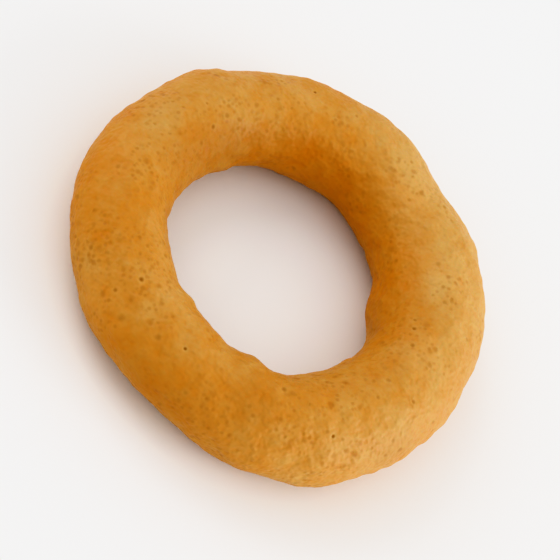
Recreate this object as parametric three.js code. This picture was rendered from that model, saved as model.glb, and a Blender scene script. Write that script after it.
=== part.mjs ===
// A battered onion ring, deep-fried, lying flat with its rounder side up.
// Units are millimetres, +Z is up, and the origin is under the middle of the ring.

import * as THREE from 'three';
import { mergeVertices } from 'three/addons/utils/BufferGeometryUtils.js';

// Driving sizes.
const OUTER_DIAMETER = 72;
const TUBE_DIAMETER = 16.6; // the onion slice with the batter all round it
const SECTION_HEIGHT = 0.96; // height of the tube's section as a share of its width
const FLAT_DEPTH = 0.3; // how much of the underside is lost to the flat spot it rests on
const RING_RADIUS = (OUTER_DIAMETER - TUBE_DIAMETER) / 2;
const TUBE_RADIUS = TUBE_DIAMETER / 2;

// Facets.
const FACETS_AROUND = 132;
const FACETS_OVER = 36;

// An onion slice is never a true circle: this one is a little three-cornered. Each row is one
// lobe: how many times it repeats round the ring, its height in mm, and the angle of a crest.
const RING_LOBES = [[3, 0.4, 90]];

// The tube is thickest towards +X. Rows are of the same kind.
const TUBE_LOBES = [
  [1, 0.6, 0],
  [2, 0.3, 0],
];

// Single swells and hollows of the batter. Angles are in degrees: `around` runs round the
// ring from +X to +Y, and `over` runs over the tube from its outer side (0) by the top (90)
// to the inner side (180). Heights and lengths are in mm, and a hollow has a negative height.
// Each one fades out over `length` along the tube and over SWELL_WIDTH across it.
const SWELL_WIDTH = 5;
const SWELLS = [
  { around: 0, over: 185, height: -0.4, length: 8 },
  { around: 35, over: 205, height: 1.2, length: 8 },
  { around: 50, over: 30, height: 0.6, length: 11 },
  { around: 75, over: 35, height: -0.9, length: 5 },
  { around: 80, over: 220, height: 0.5, length: 6 },
  { around: 100, over: 35, height: 1.0, length: 10 },
  { around: 120, over: 215, height: 0.5, length: 6 },
  { around: 160, over: 15, height: 0.6, length: 5 },
  { around: 175, over: 0, height: -0.5, length: 7 },
  { around: 165, over: 190, height: 0.5, length: 7 },
  { around: 190, over: 175, height: 0.4, length: 5 },
  { around: 225, over: -30, height: -0.7, length: 6 },
  { around: 230, over: 150, height: 0.5, length: 5 },
  { around: 270, over: -40, height: -0.5, length: 8 },
  { around: 280, over: 140, height: -0.5, length: 4 },
  { around: 295, over: 145, height: 0.3, length: 3 },
  { around: 310, over: 150, height: -1.2, length: 7 },
  { around: 315, over: -30, height: 0.8, length: 8 },
  { around: 350, over: -10, height: -0.2, length: 7 },
];

// Soft lumps all over the batter, as waves that cross it in random directions.
const LUMP_COUNT = 40;
const LUMP_HEIGHT = 0.1; // root mean square, mm
const SHORTEST_LUMP = 5; // wavelengths, mm
const LONGEST_LUMP = 13;
const LUMP_SEED = 41;

// Park and Miller's random numbers, from 0 to 1. The first draws, which lie near 0 for a
// small seed, are thrown away.
function randomNumbers(seed) {
  let state = seed;
  const next = () => {
    state = (state * 48271) % 2147483647;
    return state / 2147483647;
  };
  for (let skipped = 0; skipped < 5; skipped++) next();
  return next;
}

// Waves in evenly spread directions. Longer waves are higher, and all of them together
// have a root mean square height of 1.
function makeWaves(count, shortest, longest, seed) {
  const random = randomNumbers(seed);
  const waves = [];
  for (let n = 0; n < count; n++) {
    const rise = 2 * random() - 1;
    const turn = 2 * Math.PI * random();
    const wavelength = shortest * (longest / shortest) ** random();
    const phase = 2 * Math.PI * random();
    const level = Math.sqrt(1 - rise * rise);
    const direction = new THREE.Vector3(level * Math.cos(turn), level * Math.sin(turn), rise);
    waves.push({ direction, wavelength, phase, height: wavelength / longest });
  }
  const power = waves.reduce((sum, wave) => sum + wave.height ** 2 / 2, 0);
  waves.forEach((wave) => (wave.height /= Math.sqrt(power)));
  return waves;
}

function sumOfWaves(waves, point) {
  return waves.reduce((sum, { direction, wavelength, phase, height }) => {
    const distance = direction.dot(point);
    return sum + height * Math.sin((2 * Math.PI * distance) / wavelength + phase);
  }, 0);
}

function sumOfLobes(lobes, around) {
  return lobes.reduce((sum, [repeats, height, crest]) => {
    const offset = around - THREE.MathUtils.degToRad(crest);
    return sum + height * Math.cos(repeats * offset);
  }, 0);
}

// The shortest turn from an angle in degrees to one in radians, in radians.
function turnFrom(degrees, angle) {
  const difference = angle - THREE.MathUtils.degToRad(degrees);
  return Math.atan2(Math.sin(difference), Math.cos(difference));
}

function sumOfSwells(swells, around, over) {
  return swells.reduce((sum, swell) => {
    const along = (turnFrom(swell.around, around) * RING_RADIUS) / swell.length;
    const across = (turnFrom(swell.over, over) * TUBE_RADIUS) / SWELL_WIDTH;
    return sum + swell.height * Math.exp(-(along ** 2) - across ** 2);
  }, 0);
}

// A point on the tube, pushed out from the plain section by `push`.
function tubePoint(around, over, push) {
  const ringRadius = RING_RADIUS + sumOfLobes(RING_LOBES, around);
  const tubeRadius = TUBE_RADIUS + sumOfLobes(TUBE_LOBES, around);
  const reach = ringRadius + (tubeRadius + push) * Math.cos(over);
  const middleHeight = tubeRadius * SECTION_HEIGHT - FLAT_DEPTH;
  const height = middleHeight + (tubeRadius * SECTION_HEIGHT + push) * Math.sin(over);
  return new THREE.Vector3(reach * Math.cos(around), reach * Math.sin(around), height);
}

const lumps = makeWaves(LUMP_COUNT, SHORTEST_LUMP, LONGEST_LUMP, LUMP_SEED);

function batterPoint(around, over) {
  const lump = LUMP_HEIGHT * sumOfWaves(lumps, tubePoint(around, over, 0));
  const point = tubePoint(around, over, lump + sumOfSwells(SWELLS, around, over));
  point.z = Math.max(point.z, 0);
  return point;
}

// The ring starts as a plain torus, and each of its corners moves to the batter's surface.
function makeRing() {
  const torus = new THREE.TorusGeometry(RING_RADIUS, TUBE_RADIUS, FACETS_OVER, FACETS_AROUND);
  torus.deleteAttribute('normal');
  torus.deleteAttribute('uv');
  const geometry = mergeVertices(torus);

  const corners = geometry.getAttribute('position');
  const corner = new THREE.Vector3();
  for (let n = 0; n < corners.count; n++) {
    corner.fromBufferAttribute(corners, n);
    const around = Math.atan2(corner.y, corner.x);
    const over = Math.atan2(corner.z, Math.hypot(corner.x, corner.y) - RING_RADIUS);
    corners.setXYZ(n, ...batterPoint(around, over));
  }

  geometry.computeBoundingBox();
  const middle = geometry.boundingBox.getCenter(new THREE.Vector3());
  geometry.translate(-middle.x, -middle.y, 0);
  geometry.computeVertexNormals();
  return geometry;
}

const batter = new THREE.MeshStandardMaterial({
  name: 'batter',
  color: 0xcc862d,
  roughness: 0.5,
  metalness: 0,
});

const onionRing = new THREE.Mesh(makeRing(), batter);
onionRing.name = 'onion_ring';

const group = new THREE.Group();
group.add(onionRing);

export default group;
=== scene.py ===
"""A battered onion ring, deep-fried, lying flat on a pale floor.

Lengths are in metres unless a name ends in _MM or a comment says mm. The ring's form repeats
the CAD part's own rule, and finer relief, pores and crust are added to it here.
"""

import math

import bpy
import numpy as np
from mathutils import Matrix, Vector
from mathutils.bvhtree import BVHTree


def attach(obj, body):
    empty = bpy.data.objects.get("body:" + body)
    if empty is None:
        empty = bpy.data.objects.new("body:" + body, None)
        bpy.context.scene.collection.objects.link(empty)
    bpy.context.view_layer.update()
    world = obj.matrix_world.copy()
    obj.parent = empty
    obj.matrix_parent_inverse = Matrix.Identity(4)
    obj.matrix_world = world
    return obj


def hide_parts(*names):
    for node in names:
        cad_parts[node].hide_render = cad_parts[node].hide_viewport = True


MM = 0.001

# How high the photograph looks down on the ring, and how far its picture is turned, in degrees.
CAMERA_ELEVATION = 52
CAMERA_ROLL = 46.3
CAMERA_DISTANCE_MM = 491
SENSOR_WIDTH_MM = 36

# Pixels of the photograph: where the ring's middle lies, the middle of the part of it that the
# camera shows, and how many pixels wide that part is. One pixel shows PIXEL_MM of the ring.
RING_MIDDLE_PX = (425.2, 301.8)
VIEW_MIDDLE_PX = (424, 307)
VIEW_WIDTH_PX = 242
PIXEL_MM = 0.3736
RING_MIDDLE_HEIGHT_MM = 7.7

# The CAD part's driving sizes, in mm.
OUTER_DIAMETER_MM = 72
TUBE_DIAMETER_MM = 16.6
SECTION_HEIGHT = 0.96
FLAT_DEPTH_MM = 0.3
TUBE_RADIUS_MM = TUBE_DIAMETER_MM / 2
RING_RADIUS_MM = (OUTER_DIAMETER_MM - TUBE_DIAMETER_MM) / 2

# The ring is a little three-cornered and its tube thickest towards +X. Rows of (repeats round
# the ring, height in mm, angle of a crest in degrees).
RING_LOBES = [
    (3, 0.4, 90),
]
TUBE_LOBES = [
    (1, 0.6, 0),
    (2, 0.3, 0),
]

# Single swells and hollows, in rows of (angle round the ring, angle over the tube, height,
# length along the tube), in degrees and mm. Over the tube 0 is its outer side and 90 its top.
SWELL_WIDTH_MM = 5
SWELLS = [
    (0, 185, -0.4, 8),
    (35, 205, 1.2, 8),
    (50, 30, 0.6, 11),
    (75, 35, -0.9, 5),
    (80, 220, 0.5, 6),
    (100, 35, 1.0, 10),
    (120, 215, 0.5, 6),
    (160, 15, 0.6, 5),
    (175, 0, -0.5, 7),
    (165, 190, 0.5, 7),
    (190, 175, 0.4, 5),
    (225, -30, -0.7, 6),
    (230, 150, 0.5, 5),
    (270, -40, -0.5, 8),
    (280, 140, -0.5, 4),
    (295, 145, 0.3, 3),
    (310, 150, -1.2, 7),
    (315, -30, 0.8, 8),
    (350, -10, -0.2, 7),
]

# Small creases and beads along the two edges that the camera sees, too fine for the CAD part.
# Rows of (angle round the ring, height, length), with a crease's height below 0.
CRINKLE_WIDTH_MM = 3
OUTER_CRINKLES = [
    (25, 0.35, 2),
    (55, 0.3, 2),
    (70, -0.25, 2),
    (85, 0.3, 3),
    (110, -0.3, 2),
    (120, 0.2, 2),
    (140, -0.2, 3),
    (155, 0.2, 3),
    (165, -0.35, 2),
    (210, -0.3, 4),
    (240, 0.25, 4),
    (275, -0.2, 2),
    (290, 0.2, 2),
    (310, -0.3, 3),
    (325, 0.25, 2),
    (335, -0.3, 2),
    (345, 0.2, 2),
]
INNER_CRINKLES = [
    (10, -0.2, 3),
    (50, -0.3, 4),
    (90, -0.2, 4),
    (105, 0.2, 3),
    (135, -0.2, 2),
    (160, 0.3, 3),
    (185, 0.4, 3),
    (210, -0.3, 2),
    (220, 0.2, 2),
    (245, -0.3, 2),
    (255, 0.3, 2),
    (280, -0.2, 2),
    (300, -0.3, 2),
    (325, -0.2, 2),
    (350, -0.3, 3),
]

# Relief of the batter, as (number of waves, root mean square height, shortest wave, longest
# wave, seed), in mm. The lumps are the CAD part's own.
LUMPS = (40, 0.1, 5, 13, 41)
RIPPLES = (60, 0.07, 2.2, 5, 7)
GRAIN = (90, 0.018, 0.9, 2, 11)

# Park and Miller's random numbers. The first draws, near 0 for a small seed, are thrown away.
DRAW_MULTIPLIER = 48271
DRAW_MODULUS = 2**31 - 1
DRAWS_SKIPPED = 5

# Where the batter fried paler, above 0, and where deeper, in rows of (angle round the ring,
# angle over the tube, strength, length along the tube, width across it), in degrees and mm.
# The rows at (80, 80), (90, 60), (35, 105), (180, 70) and (255, 120) are a painted sheen and
# glints, and the wide one at (50, 65) is partly so. The deep rows at (80, 190), (20, 155),
# (100, 150) and (125, 140) are painted shade on the hole's wall.
TONE_SHADE_AND_SHEEN_AREAS = [
    (50, 65, 0.75, 36, 11),
    (40, 25, 0.3, 10, 6),
    (345, 35, 0.2, 12, 7),
    (320, 15, 0.35, 14, 7),
    (185, 75, 0.3, 14, 6),
    (215, 20, -0.3, 14, 7),
    (260, 85, 0.25, 12, 6),
    (275, 15, -0.5, 14, 6),
    (300, 110, -0.15, 9, 8),
    (80, 80, 0.6, 4, 4),
    (90, 60, 0.3, 6, 5),
    (140, 105, 0.4, 12, 7),
    (240, 110, 0.3, 8, 6),
    (240, 25, 0.25, 8, 5),
    (215, 60, -0.2, 8, 6),
    (20, 155, -0.4, 12, 6),
    (100, 150, -0.4, 10, 6),
    (35, 105, 0.8, 3, 3),
    (180, 70, 0.3, 5, 4),
    (80, 190, -0.9, 26, 8),
    (125, 140, -0.5, 9, 6),
    (255, 120, 0.35, 5, 3),
    (100, 60, -0.2, 4, 3),
    (230, 60, -0.3, 5, 4),
    (255, 30, -0.3, 6, 5),
    (215, 50, -0.2, 5, 4),
    (270, 80, -0.2, 5, 4),
    (160, 120, 0.2, 4, 3),
    (335, 30, 0.15, 5, 4),
]

# Where the crust browned more, above 0, and where it stayed blond, in the same rows. The rows above 0
# are mostly painted shade, on the hole's upper wall and along the lower rims, and those below 0
# are mostly a painted sheen and glints along the top.
BROWNED_SHADE_AND_SHEEN_AREAS = [
    (170, 140, 0.3, 11, 5),
    (190, 110, 0.15, 5, 4),
    (150, 150, 0.15, 6, 3),
    (125, 140, 0.12, 5, 4),
    (270, 5, 0.25, 8, 4),
    (15, 170, 0.2, 7, 4),
    (340, 25, 0.3, 4, 3),
    (295, 70, 0.22, 4, 5),
    (75, 110, -0.25, 6, 4),
    (40, 105, -0.2, 5, 3),
    (55, 135, -0.12, 4, 4),
    (5, 100, -0.15, 4, 3),
    (200, 60, -0.15, 5, 4),
    (245, 20, -0.15, 6, 6),
]

# Where browned spots crowd together, above 0, and where they are few, in the same rows.
SPOTTED_AREAS = [
    (60, 70, -0.6, 20, 12),
    (105, 120, -0.4, 16, 10),
    (235, 45, 0.5, 10, 7),
    (320, 50, -0.3, 12, 9),
    (355, 35, 0.4, 8, 6),
    (150, 90, -0.2, 12, 8),
]

# Pinholes that steam left in the batter, and softer browned pits. Rows of (pixel of the
# photograph across and down, radius in mm, how dark and deep it is, from 0 to 1).
PITS = [
    (364.5, 307, 0.45, 0.9),
    (383.5, 336.5, 0.32, 1.0),
    (447.5, 374.5, 0.36, 1.0),
    (439, 226, 0.3, 0.9),
    (482, 327.5, 0.38, 0.75),
    (482, 324, 0.32, 0.5),
    (426, 354, 0.5, 0.55),
    (342.5, 293.5, 0.5, 0.45),
    (395, 241, 0.42, 0.5),
    (401, 236.5, 0.5, 0.4),
    (392.5, 231, 0.3, 0.4),
    (413.5, 231.5, 0.5, 0.35),
    (354.5, 258, 0.5, 0.3),
    (370.5, 264.5, 0.3, 0.3),
    (390, 248, 0.4, 0.3),
    (457, 236.5, 0.35, 0.35),
    (479.5, 272.5, 0.35, 0.35),
    (480.5, 256, 0.4, 0.3),
    (492, 299.5, 0.5, 0.3),
    (372, 332, 0.55, 0.35),
    (383.5, 355.5, 0.4, 0.3),
    (353, 311.5, 0.35, 0.35),
    (356, 323.5, 0.7, 0.3),
    (353.5, 327, 0.4, 0.3),
    (347, 325, 0.35, 0.3),
    (344, 322, 0.35, 0.25),
    (411, 361.5, 0.4, 0.35),
    (413, 365.5, 0.4, 0.35),
    (445, 372, 0.4, 0.4),
    (451.5, 375.5, 0.35, 0.35),
    (447.5, 383, 0.5, 0.3),
    (481, 335, 0.42, 0.5),
    (484, 339, 0.4, 0.25),
    (471, 350, 0.5, 0.3),
    (464.5, 350, 0.4, 0.25),
    (466.5, 357.5, 0.4, 0.3),
    (482, 359, 0.42, 0.5),
    (505, 332.5, 0.4, 0.3),
    (495, 316, 0.4, 0.35),
    (476.5, 380, 0.6, 0.5),
    (473.5, 376.5, 0.4, 0.35),
    (470, 382.5, 0.4, 0.35),
    (490.5, 368, 0.5, 0.25),
]

# The deepest pit, how many radii wide a pit's dent and its raised rim are, and the rim's height
# as a share of the pit's depth.
PIT_DEPTH_MM = 0.22
DENT_WIDTH = 1.3
RIM_WIDTH = 3
RIM_HEIGHT = 0.35

# Facets of the CAD part, which settle where its middle is.
CAD_FACETS_AROUND = 132
CAD_FACETS_OVER = 36

# Facets of the smooth ring on which the pits are placed.
PLAIN_FACETS_AROUND = 720
PLAIN_FACETS_OVER = 240

# Quads of the finished ring, which stay under 200,000 triangles.
QUADS_AROUND = 580
QUADS_OVER = 170

# The ring's strips in the bake map, and the free margin of each as a share of its side.
BAKE_STRIPS = 4
BAKE_MARGIN = 0.01


class Draws:
    """Park and Miller's random numbers, from 0 to 1, as the CAD part makes them."""

    def __init__(self, seed):
        self.state = seed
        for _ in range(DRAWS_SKIPPED):
            self()

    def __call__(self):
        self.state = self.state * DRAW_MULTIPLIER % DRAW_MODULUS
        return self.state / DRAW_MODULUS


def make_waves(count, shortest, longest, seed):
    """Waves in evenly spread directions, in rows of (direction, length, phase, weight)."""
    draw = Draws(seed)
    waves = []
    for _ in range(count):
        rise = 2 * draw() - 1
        turn = 2 * math.pi * draw()
        length = shortest * (longest / shortest) ** draw()
        phase = 2 * math.pi * draw()
        level = math.sqrt(1 - rise * rise)
        direction = (level * math.cos(turn), level * math.sin(turn), rise)
        waves.append((direction, length, phase, length / longest))
    return waves


def relief(points, count, height, shortest, longest, seed):
    """Height of one kind of relief at each point, in mm."""
    waves = make_waves(count, shortest, longest, seed)
    power = sum(weight**2 / 2 for *_, weight in waves)
    total = np.zeros(len(points))
    for direction, length, phase, weight in waves:
        total += weight * np.sin(2 * math.pi * (points @ np.array(direction)) / length + phase)
    return height * total / math.sqrt(power)


def sum_of_lobes(lobes, around):
    return sum(height * np.cos(n * (around - math.radians(crest))) for n, height, crest in lobes)


def turn_from(degrees, angle):
    """The shortest turn from an angle in degrees to one in radians, in radians."""
    difference = angle - math.radians(degrees)
    return np.arctan2(np.sin(difference), np.cos(difference))


def sum_of_swells(swells, around, over):
    """Adds up soft spots, in rows of (around, over, height, length along, width across)."""
    total = np.zeros(len(around))
    for at_around, at_over, height, length, width in swells:
        along = turn_from(at_around, around) * RING_RADIUS_MM / length
        across = turn_from(at_over, over) * TUBE_RADIUS_MM / width
        total += height * np.exp(-(along**2) - across**2)
    return total


def tube_points(around, over, push):
    """Points on the tube, pushed out from the plain section by push, in mm."""
    ring = RING_RADIUS_MM + sum_of_lobes(RING_LOBES, around)
    tube = TUBE_RADIUS_MM + sum_of_lobes(TUBE_LOBES, around)
    reach = ring + (tube + push) * np.cos(over)
    height = tube * SECTION_HEIGHT - FLAT_DEPTH_MM + (tube * SECTION_HEIGHT + push) * np.sin(over)
    return np.stack([reach * np.cos(around), reach * np.sin(around), height], axis=1)


def facet_grid(facets_around, facets_over):
    """The column and the row of each corner of a ring with that many facets."""
    columns, rows = np.meshgrid(np.arange(facets_around), np.arange(facets_over), indexing="ij")
    return columns.ravel(), rows.ravel()


def facet_angles(facets_around, facets_over):
    """The angles round the ring and over the tube of each of its corners, in radians."""
    columns, rows = facet_grid(facets_around, facets_over)
    return columns * 2 * math.pi / facets_around, rows * 2 * math.pi / facets_over


def ring_faces(facets_around, facets_over):
    """The four corners of each face of a ring with that many facets."""
    columns, rows = facet_grid(facets_around, facets_over)
    next_columns, next_rows = (columns + 1) % facets_around, (rows + 1) % facets_over
    corners = [(columns, rows), (next_columns, rows), (next_columns, next_rows), (columns, next_rows)]
    return np.stack([column * facets_over + row for column, row in corners], axis=1)


def coarse_push(around, over):
    """How far the CAD part's own lumps and swells push the batter out, in mm."""
    swells = [(*row, SWELL_WIDTH_MM) for row in SWELLS]
    return relief(tube_points(around, over, 0), *LUMPS) + sum_of_swells(swells, around, over)


def seen_edge(around):
    """The angle over the tube, in degrees, of the outer edge that the camera sees there."""
    slope = math.sin(math.radians(around)) / math.tan(math.radians(CAMERA_ELEVATION))
    return math.degrees(math.atan(slope))


def edge_crinkles(crinkles, side):
    """The crinkles of the outer edge (side 0) or the inner one (180), as sum_of_swells takes them."""
    return [
        (around, side + seen_edge(around), height, length, CRINKLE_WIDTH_MM)
        for around, height, length in crinkles
    ]


def fine_push(around, over, pits):
    """How far the relief that is too fine for the CAD part pushes the batter out, in mm."""
    plain = tube_points(around, over, 0)
    crinkles = edge_crinkles(OUTER_CRINKLES, 0) + edge_crinkles(INNER_CRINKLES, 180)
    push = relief(plain, *RIPPLES) + relief(plain, *GRAIN) + sum_of_swells(crinkles, around, over)
    for at_around, at_over, radius, darkness in pits:
        depth = PIT_DEPTH_MM * darkness
        dent = (at_around, at_over, -depth, radius * DENT_WIDTH, radius * DENT_WIDTH)
        rim = (at_around, at_over, depth * RIM_HEIGHT, radius * RIM_WIDTH, radius * RIM_WIDTH)
        push += sum_of_swells([dent, rim], around, over)
    return push


def ring_middle():
    """The middle of the CAD ring's bounding box before it is centred, in mm."""
    around, over = facet_angles(CAD_FACETS_AROUND, CAD_FACETS_OVER)
    points = tube_points(around, over, coarse_push(around, over))
    middle = (points.min(axis=0) + points.max(axis=0)) / 2
    return np.array([middle[0], middle[1], 0])


def in_frame(points):
    """Points of the ring in the CAD part's frame: centred, flat below, and in metres."""
    points[:, 2] = np.maximum(points[:, 2], 0)
    return (points - ring_middle()) * MM


def batter_points(around, over, pits):
    """Points on the finished batter, in metres, in the CAD part's frame."""
    push = coarse_push(around, over) + fine_push(around, over, pits)
    return in_frame(tube_points(around, over, push))


def camera_place():
    """Where the camera stands, and which ways are right, up and back for it."""
    elevation, roll = math.radians(CAMERA_ELEVATION), math.radians(CAMERA_ROLL)
    back = Vector((0, -math.cos(elevation), math.sin(elevation)))
    level, rise = Vector((1, 0, 0)), Vector((0, math.sin(elevation), math.cos(elevation)))
    right = level * math.cos(roll) + rise * math.sin(roll)
    up = rise * math.cos(roll) - level * math.sin(roll)
    across = VIEW_MIDDLE_PX[0] - RING_MIDDLE_PX[0]
    down = VIEW_MIDDLE_PX[1] - RING_MIDDLE_PX[1]
    middle = Vector((0, 0, RING_MIDDLE_HEIGHT_MM)) + (right * across - up * down) * PIXEL_MM
    return (middle + back * CAMERA_DISTANCE_MM) * MM, right, up, back


def place_pits():
    """The pits in rows of (angle round the ring, angle over the tube, radius, darkness).

    Each lies where the camera's line of sight through its pixel meets the smooth ring.
    """
    around, over = facet_angles(PLAIN_FACETS_AROUND, PLAIN_FACETS_OVER)
    points = in_frame(tube_points(around, over, coarse_push(around, over)))
    faces = ring_faces(PLAIN_FACETS_AROUND, PLAIN_FACETS_OVER)
    tree = BVHTree.FromPolygons(points.tolist(), faces.tolist())
    eye, right, up, back = camera_place()
    placed = []
    for across, down, radius, darkness in PITS:
        aside = right * (across - VIEW_MIDDLE_PX[0]) - up * (down - VIEW_MIDDLE_PX[1])
        _, _, face, _ = tree.ray_cast(eye, aside * PIXEL_MM - back * CAMERA_DISTANCE_MM)
        corner = faces[face][0]
        placed.append((math.degrees(around[corner]), math.degrees(over[corner]), radius, darkness))
    return placed


def make_ring(pits):
    around, over = facet_angles(QUADS_AROUND, QUADS_OVER)
    points = batter_points(around, over, pits)
    faces = ring_faces(QUADS_AROUND, QUADS_OVER)
    mesh = bpy.data.meshes.new("batter_ring")
    mesh.from_pydata(points.tolist(), [], faces.tolist())
    mesh.polygons.foreach_set("use_smooth", np.ones(len(faces), bool))
    add_bake_map(mesh)
    kinds = {"tone_shade_and_sheen": TONE_SHADE_AND_SHEEN_AREAS, "browned_shade_and_sheen": BROWNED_SHADE_AND_SHEEN_AREAS, "spotted": SPOTTED_AREAS}
    for name, areas in kinds.items():
        layer = mesh.attributes.new(name, "FLOAT", "POINT")
        layer.data.foreach_set("value", sum_of_swells(areas, around, over).astype(np.float32))
    mesh.update()
    ring = bpy.data.objects.new("batter_ring", mesh)
    bpy.context.scene.collection.objects.link(ring)
    return ring


def add_bake_map(mesh):
    """Lays the ring out as four near-square strips, two by two, in the bake map."""
    columns, rows = facet_grid(QUADS_AROUND, QUADS_OVER)
    strip_columns = QUADS_AROUND // BAKE_STRIPS
    strip = columns // strip_columns
    left = (columns % strip_columns)[:, None] + np.array([0, 1, 1, 0])
    bottom = rows[:, None] + np.array([0, 0, 1, 1])
    across = BAKE_MARGIN + (1 - 2 * BAKE_MARGIN) * left / strip_columns
    up = BAKE_MARGIN + (1 - 2 * BAKE_MARGIN) * bottom / QUADS_OVER
    u = ((strip % 2)[:, None] + across) / 2
    v = ((strip // 2)[:, None] + up) / 2
    layer = mesh.uv_layers.new(name="OFBake")
    layer.uv.foreach_set("vector", np.stack([u, v], axis=2).astype(np.float32).ravel())


class Tree:
    """Short ways to add shader nodes. Values are numbers, tuples or other nodes' sockets."""

    def __init__(self, material):
        self.nodes, self.links = material.node_tree.nodes, material.node_tree.links

    def set(self, socket, value):
        if isinstance(value, bpy.types.NodeSocket):
            self.links.new(value, socket)
        else:
            socket.default_value = value

    def add(self, kind, output=0, inputs=None, **settings):
        """Adds a node and returns one of its outputs, picked by its number or its name."""
        node = self.nodes.new(kind)
        for name, value in settings.items():
            setattr(node, name, value)
        for key, value in (inputs or {}).items():
            self.set(node.inputs[key], value)
        return node.outputs[output]

    def math(self, operation, *values):
        inputs = dict(enumerate(values))
        return self.add("ShaderNodeMath", inputs=inputs, operation=operation)

    def ramp(self, value, low, high, to_low=0.0, to_high=1.0):
        """Eases from to_low to to_high as value goes from low to high."""
        inputs = {0: value, 1: low, 2: high, 3: to_low, 4: to_high}
        return self.add("ShaderNodeMapRange", inputs=inputs, interpolation_type="SMOOTHSTEP")

    def noise(self, place, size, detail):
        """Noise from 0 to 1 whose patches are about size wide, in the units of place."""
        inputs = {"Vector": place, "Scale": 1 / size, "Detail": detail}
        return self.add("ShaderNodeTexNoise", inputs=inputs)

    def mix(self, amount, first, second):
        """Mixes two colours, which are inputs 6 and 7 and output 2 of the node."""
        inputs = {0: amount, 6: first, 7: second}
        return self.add("ShaderNodeMix", 2, inputs, data_type="RGBA")

    def attribute(self, name):
        return self.add("ShaderNodeAttribute", "Fac", attribute_name=name)


# Colours of the fried batter, as linear red, green, blue and alpha. The pale and blond colours
# also paint sheen and highlights, and the amber and brown ones also paint shade.
GOLDEN = (0.565, 0.276, 0.067, 1)
PALE_AND_HIGHLIGHT = (0.59, 0.365, 0.13, 1)
AMBER_AND_SHADE = (0.55, 0.2, 0.016, 1)
BLOND_AND_SHEEN = (0.8, 0.48, 0.18, 1)
BROWN_AND_SHADE = (0.35, 0.125, 0.016, 1)
BURNT = (0.24, 0.07, 0.005, 1)

# Noise that makes the tone uneven: (patch size in mm, octaves after the first, swing of the
# tone). The noise itself swings round NOISE_MIDDLE.
TONE_NOISE = {
    "broad": (8.5, 1, 1.2),
    "patches": (3.1, 2, 1.3),
    "mottle": (1.3, 1, 0.65),
    "grain": (0.7, 0, 0.3),
}
NOISE_MIDDLE = 0.5

# Browned spots in the batter. Rows of (cell size, share of the cells that hold one, radius as
# a share of the cell, colour, strength), with sizes in mm.
SPOTS = [
    (2.8, 0.8, 0.3, BROWN_AND_SHADE, 0.42),
    (1.6, 0.8, 0.42, BROWN_AND_SHADE, 0.4),
    (0.9, 0.9, 0.55, BROWN_AND_SHADE, 0.36),
    (5.5, 0.4, 0.07, BURNT, 0.7),
]

# A cell holds a spot where its random number is under the share, and a full one where it is
# under this part of the share. A spot is full inside this part of its radius.
FULL_SHARE = 0.3
FULL_RADIUS = 0.2

# Noise that crowds the spots together: its patch size, the weight of SPOTTED_AREAS in it, the
# levels between which crowding sets in, and how strong the spots are outside the crowds.
CROWD_PATCH_MM = 6
CROWD_AREA_WEIGHT = 0.2
CROWD_LEVELS = (0.4, 0.65)
UNCROWDED_STRENGTH = 0.2

# The dark hole of a pit and its pale rim, which is a painted highlight: the radii at which each
# mark has faded out and at which it is full,
# and how strong its tint is.
HOLE_RADII = (1.3, 0.2)
RIM_RADII = (2.6, 1.0)
HOLE_TINT = 0.85
RIM_HIGHLIGHT_TINT = 0.35

# Surface of the batter, with what the patches and the pits add to its roughness.
ROUGHNESS = 0.4
PATCH_ROUGHNESS = 0.3
PIT_ROUGHNESS = 0.3
SPECULAR_LEVEL = 0.35
SUBSURFACE_WEIGHT = 0.15
SUBSURFACE_RADIUS = (1.0, 0.35, 0.1)
SUBSURFACE_SCALE_MM = 1.2

# Bump of the batter, in mm at the full height of each kind.
BUMP_STRENGTH = 0.9
MOTTLE_BUMP_MM = 0.3
GRAIN_BUMP_MM = 0.2
PORE_BUMP_MM = -0.12
RIM_BUMP_MM = 0.05

# The floor lies just under the ring. Lengths are in metres.
FLOOR_HALF_WIDTH = 4.0
FLOOR_DROP = 0.02 * MM
FLOOR_COLOUR = (0.9, 0.9, 0.9, 1)
FLOOR_ROUGHNESS = 0.9
FLOOR_SPECULAR_LEVEL = 0.2

# Square lamps that face the ring, in rows of (name, azimuth and elevation in degrees, watts).
# Azimuth 0 is +X and 90 is +Y. Lengths are in metres.
LAMP_DISTANCE = 0.9
LAMP_SIZE = 0.5
LAMPS = [
    ("key", 10, 17, 3.2),
    ("fill", 165, 40, 1.5),
]
WORLD_COLOUR = (1, 1, 1, 1)
WORLD_STRENGTH = 0.7


def spots(tree, place, size, share, radius, strength):
    """Soft round spots, 0 to strength, in some of the cells of a random mosaic."""
    mosaic = tree.nodes.new("ShaderNodeTexVoronoi")
    tree.set(mosaic.inputs["Vector"], place)
    mosaic.inputs["Scale"].default_value = 1 / size
    pick = tree.add("ShaderNodeSeparateColor", "Red", {"Color": mosaic.outputs["Color"]})
    chosen = tree.ramp(pick, share, share * FULL_SHARE, 0.0, strength)
    disc = tree.ramp(mosaic.outputs["Distance"], radius, radius * FULL_RADIUS)
    return tree.math("MULTIPLY", chosen, disc)


def pit_mark(tree, distance, radius, radii, darkness):
    """A round mark, 0 to darkness, that fades out between two multiples of the pit's radius."""
    faded, full = radii
    return tree.ramp(distance, radius * faded * MM, radius * full * MM, 0.0, darkness)


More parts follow.
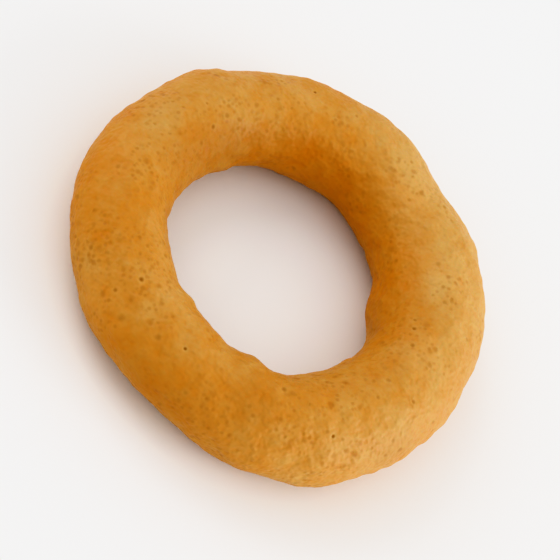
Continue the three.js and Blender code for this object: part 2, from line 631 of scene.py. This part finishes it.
def pit_marks(tree, position, pits):
    """The pits and the rims round them, each from 0 to 1."""
    holes, rims = 0.0, 0.0
    for around, over, radius, darkness in pits:
        centre = batter_points(np.radians([around]), np.radians([over]), pits)[0]
        inputs = {0: position, 1: tuple(centre)}
        distance = tree.add("ShaderNodeVectorMath", "Value", inputs, operation="DISTANCE")
        holes = tree.math("MAXIMUM", holes, pit_mark(tree, distance, radius, HOLE_RADII, darkness))
        rims = tree.math("MAXIMUM", rims, pit_mark(tree, distance, radius, RIM_RADII, darkness))
    return holes, rims


def crust_colour(tree, noises):
    """The batter's colour before its spots: its tone, then where it browned or stayed blond, each with
    painted shade and sheen.
    """
    # Tone goes from -1, deep amber, past 0, golden, to 1, pale; its areas also paint shade on the
    # hole's wall and sheen on the top.
    tone_shade_and_sheen = tree.attribute("tone_shade_and_sheen")
    for name, (_, _, swing) in TONE_NOISE.items():
        offset = tree.math("SUBTRACT", noises[name], NOISE_MIDDLE)
        tone_shade_and_sheen = tree.math("MULTIPLY_ADD", offset, swing, tone_shade_and_sheen)
    colour = tree.mix(tone_shade_and_sheen, GOLDEN, PALE_AND_HIGHLIGHT)
    colour = tree.mix(tree.math("MULTIPLY", tone_shade_and_sheen, -1.0), colour, AMBER_AND_SHADE)
    # Above 0 this darkens the crust with painted shade, and below 0 it lightens it with a painted
    # sheen.
    browned_shade_and_sheen = tree.attribute("browned_shade_and_sheen")
    colour = tree.mix(browned_shade_and_sheen, colour, BROWN_AND_SHADE)
    return tree.mix(tree.math("MULTIPLY", browned_shade_and_sheen, -1.0), colour, BLOND_AND_SHEEN)


def add_spots(tree, place, colour):
    """The colour with its browned spots, and the spots themselves, from 0 to 1."""
    patches = tree.noise(place, CROWD_PATCH_MM, 0)
    spotted = tree.math("MULTIPLY_ADD", tree.attribute("spotted"), CROWD_AREA_WEIGHT, patches)
    crowding = tree.ramp(spotted, *CROWD_LEVELS, UNCROWDED_STRENGTH, 1.0)
    pores = 0.0
    for size, share, radius, tint, strength in SPOTS:
        spot = tree.math("MULTIPLY", spots(tree, place, size, share, radius, strength), crowding)
        colour = tree.mix(spot, colour, tint)
        pores = tree.math("MAXIMUM", pores, spot)
    return colour, pores


def batter_material(pits):
    material = bpy.data.materials.new("batter")
    material.use_nodes = True
    tree = Tree(material)
    shader = tree.nodes["Principled BSDF"]
    position = tree.add("ShaderNodeTexCoord", "Object")
    scaling = {0: position, "Scale": 1 / MM}
    place = tree.add("ShaderNodeVectorMath", inputs=scaling, operation="SCALE")
    noises = {name: tree.noise(place, size, octaves) for name, (size, octaves, _) in TONE_NOISE.items()}

    colour, pores = add_spots(tree, place, crust_colour(tree, noises))
    holes, rims = pit_marks(tree, position, pits)
    # The pale ring round each pit is a painted highlight on its rim.
    colour = tree.mix(tree.math("MULTIPLY", rims, RIM_HIGHLIGHT_TINT), colour, PALE_AND_HIGHLIGHT)
    colour = tree.mix(tree.math("MULTIPLY", holes, HOLE_TINT), colour, BURNT)
    tree.set(shader.inputs["Base Color"], colour)

    roughness = tree.math("MULTIPLY_ADD", noises["patches"], PATCH_ROUGHNESS, ROUGHNESS)
    roughness = tree.math("MULTIPLY_ADD", holes, PIT_ROUGHNESS, roughness)
    tree.set(shader.inputs["Roughness"], roughness)
    shader.inputs["Specular IOR Level"].default_value = SPECULAR_LEVEL
    shader.inputs["Subsurface Weight"].default_value = SUBSURFACE_WEIGHT
    shader.inputs["Subsurface Radius"].default_value = SUBSURFACE_RADIUS
    shader.inputs["Subsurface Scale"].default_value = SUBSURFACE_SCALE_MM * MM

    height = tree.math("MULTIPLY", noises["grain"], GRAIN_BUMP_MM)
    height = tree.math("MULTIPLY_ADD", noises["mottle"], MOTTLE_BUMP_MM, height)
    height = tree.math("MULTIPLY_ADD", pores, PORE_BUMP_MM, height)
    height = tree.math("MULTIPLY_ADD", rims, RIM_BUMP_MM, height)
    inputs = {"Strength": BUMP_STRENGTH, "Distance": MM, "Height": height}
    tree.set(shader.inputs["Normal"], tree.add("ShaderNodeBump", inputs=inputs))
    return material


def make_floor():
    sides = [(-1, -1), (1, -1), (1, 1), (-1, 1)]
    corners = [(x * FLOOR_HALF_WIDTH, y * FLOOR_HALF_WIDTH, -FLOOR_DROP) for x, y in sides]
    mesh = bpy.data.meshes.new("floor")
    mesh.from_pydata(corners, [], [(0, 1, 2, 3)])
    floor = bpy.data.objects.new("floor", mesh)
    bpy.context.scene.collection.objects.link(floor)
    material = bpy.data.materials.new("floor")
    material.use_nodes = True
    shader = material.node_tree.nodes["Principled BSDF"]
    shader.inputs["Base Color"].default_value = FLOOR_COLOUR
    shader.inputs["Roughness"].default_value = FLOOR_ROUGHNESS
    shader.inputs["Specular IOR Level"].default_value = FLOOR_SPECULAR_LEVEL
    mesh.materials.append(material)


def add_lamp(name, azimuth, elevation, power):
    turn, rise = math.radians(azimuth), math.radians(elevation)
    level = math.cos(rise)
    direction = Vector((math.cos(turn) * level, math.sin(turn) * level, math.sin(rise)))
    lamp = bpy.data.lights.new(name, "AREA")
    lamp.size = LAMP_SIZE
    lamp.energy = power
    light = bpy.data.objects.new(name, lamp)
    light.location = direction * LAMP_DISTANCE
    light.rotation_euler = direction.to_track_quat("Z", "Y").to_euler()
    bpy.context.scene.collection.objects.link(light)


def light_scene():
    for lamp in LAMPS:
        add_lamp(*lamp)
    world = bpy.data.worlds.new("studio")
    bpy.context.scene.world = world
    world.use_nodes = True
    background = world.node_tree.nodes["Background"]
    background.inputs["Color"].default_value = WORLD_COLOUR
    background.inputs["Strength"].default_value = WORLD_STRENGTH


def make_camera():
    """The photograph's view of the ring, closed in on it."""
    place, right, up, back = camera_place()
    data = bpy.data.cameras.new("camera")
    data.sensor_width = SENSOR_WIDTH_MM
    data.lens = SENSOR_WIDTH_MM * CAMERA_DISTANCE_MM / (VIEW_WIDTH_PX * PIXEL_MM)
    camera = bpy.data.objects.new("camera", data)
    turn = Matrix((right, up, back)).transposed().to_4x4()
    camera.matrix_world = Matrix.Translation(place) @ turn
    bpy.context.scene.collection.objects.link(camera)
    bpy.context.scene.camera = camera


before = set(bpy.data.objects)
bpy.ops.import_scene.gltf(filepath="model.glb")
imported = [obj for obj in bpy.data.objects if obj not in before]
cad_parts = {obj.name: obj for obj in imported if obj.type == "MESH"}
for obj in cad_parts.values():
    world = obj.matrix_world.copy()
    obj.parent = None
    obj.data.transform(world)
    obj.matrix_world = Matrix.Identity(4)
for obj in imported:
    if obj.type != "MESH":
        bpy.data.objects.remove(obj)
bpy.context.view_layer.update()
bpy.context.scene.view_settings.view_transform = "Khronos PBR Neutral"
bpy.context.scene.view_settings.look = "High Contrast"

pits = place_pits()
ring = make_ring(pits)
ring.data.materials.append(batter_material(pits))
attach(ring, "root")
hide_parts("onion_ring")

make_floor()
light_scene()
make_camera()
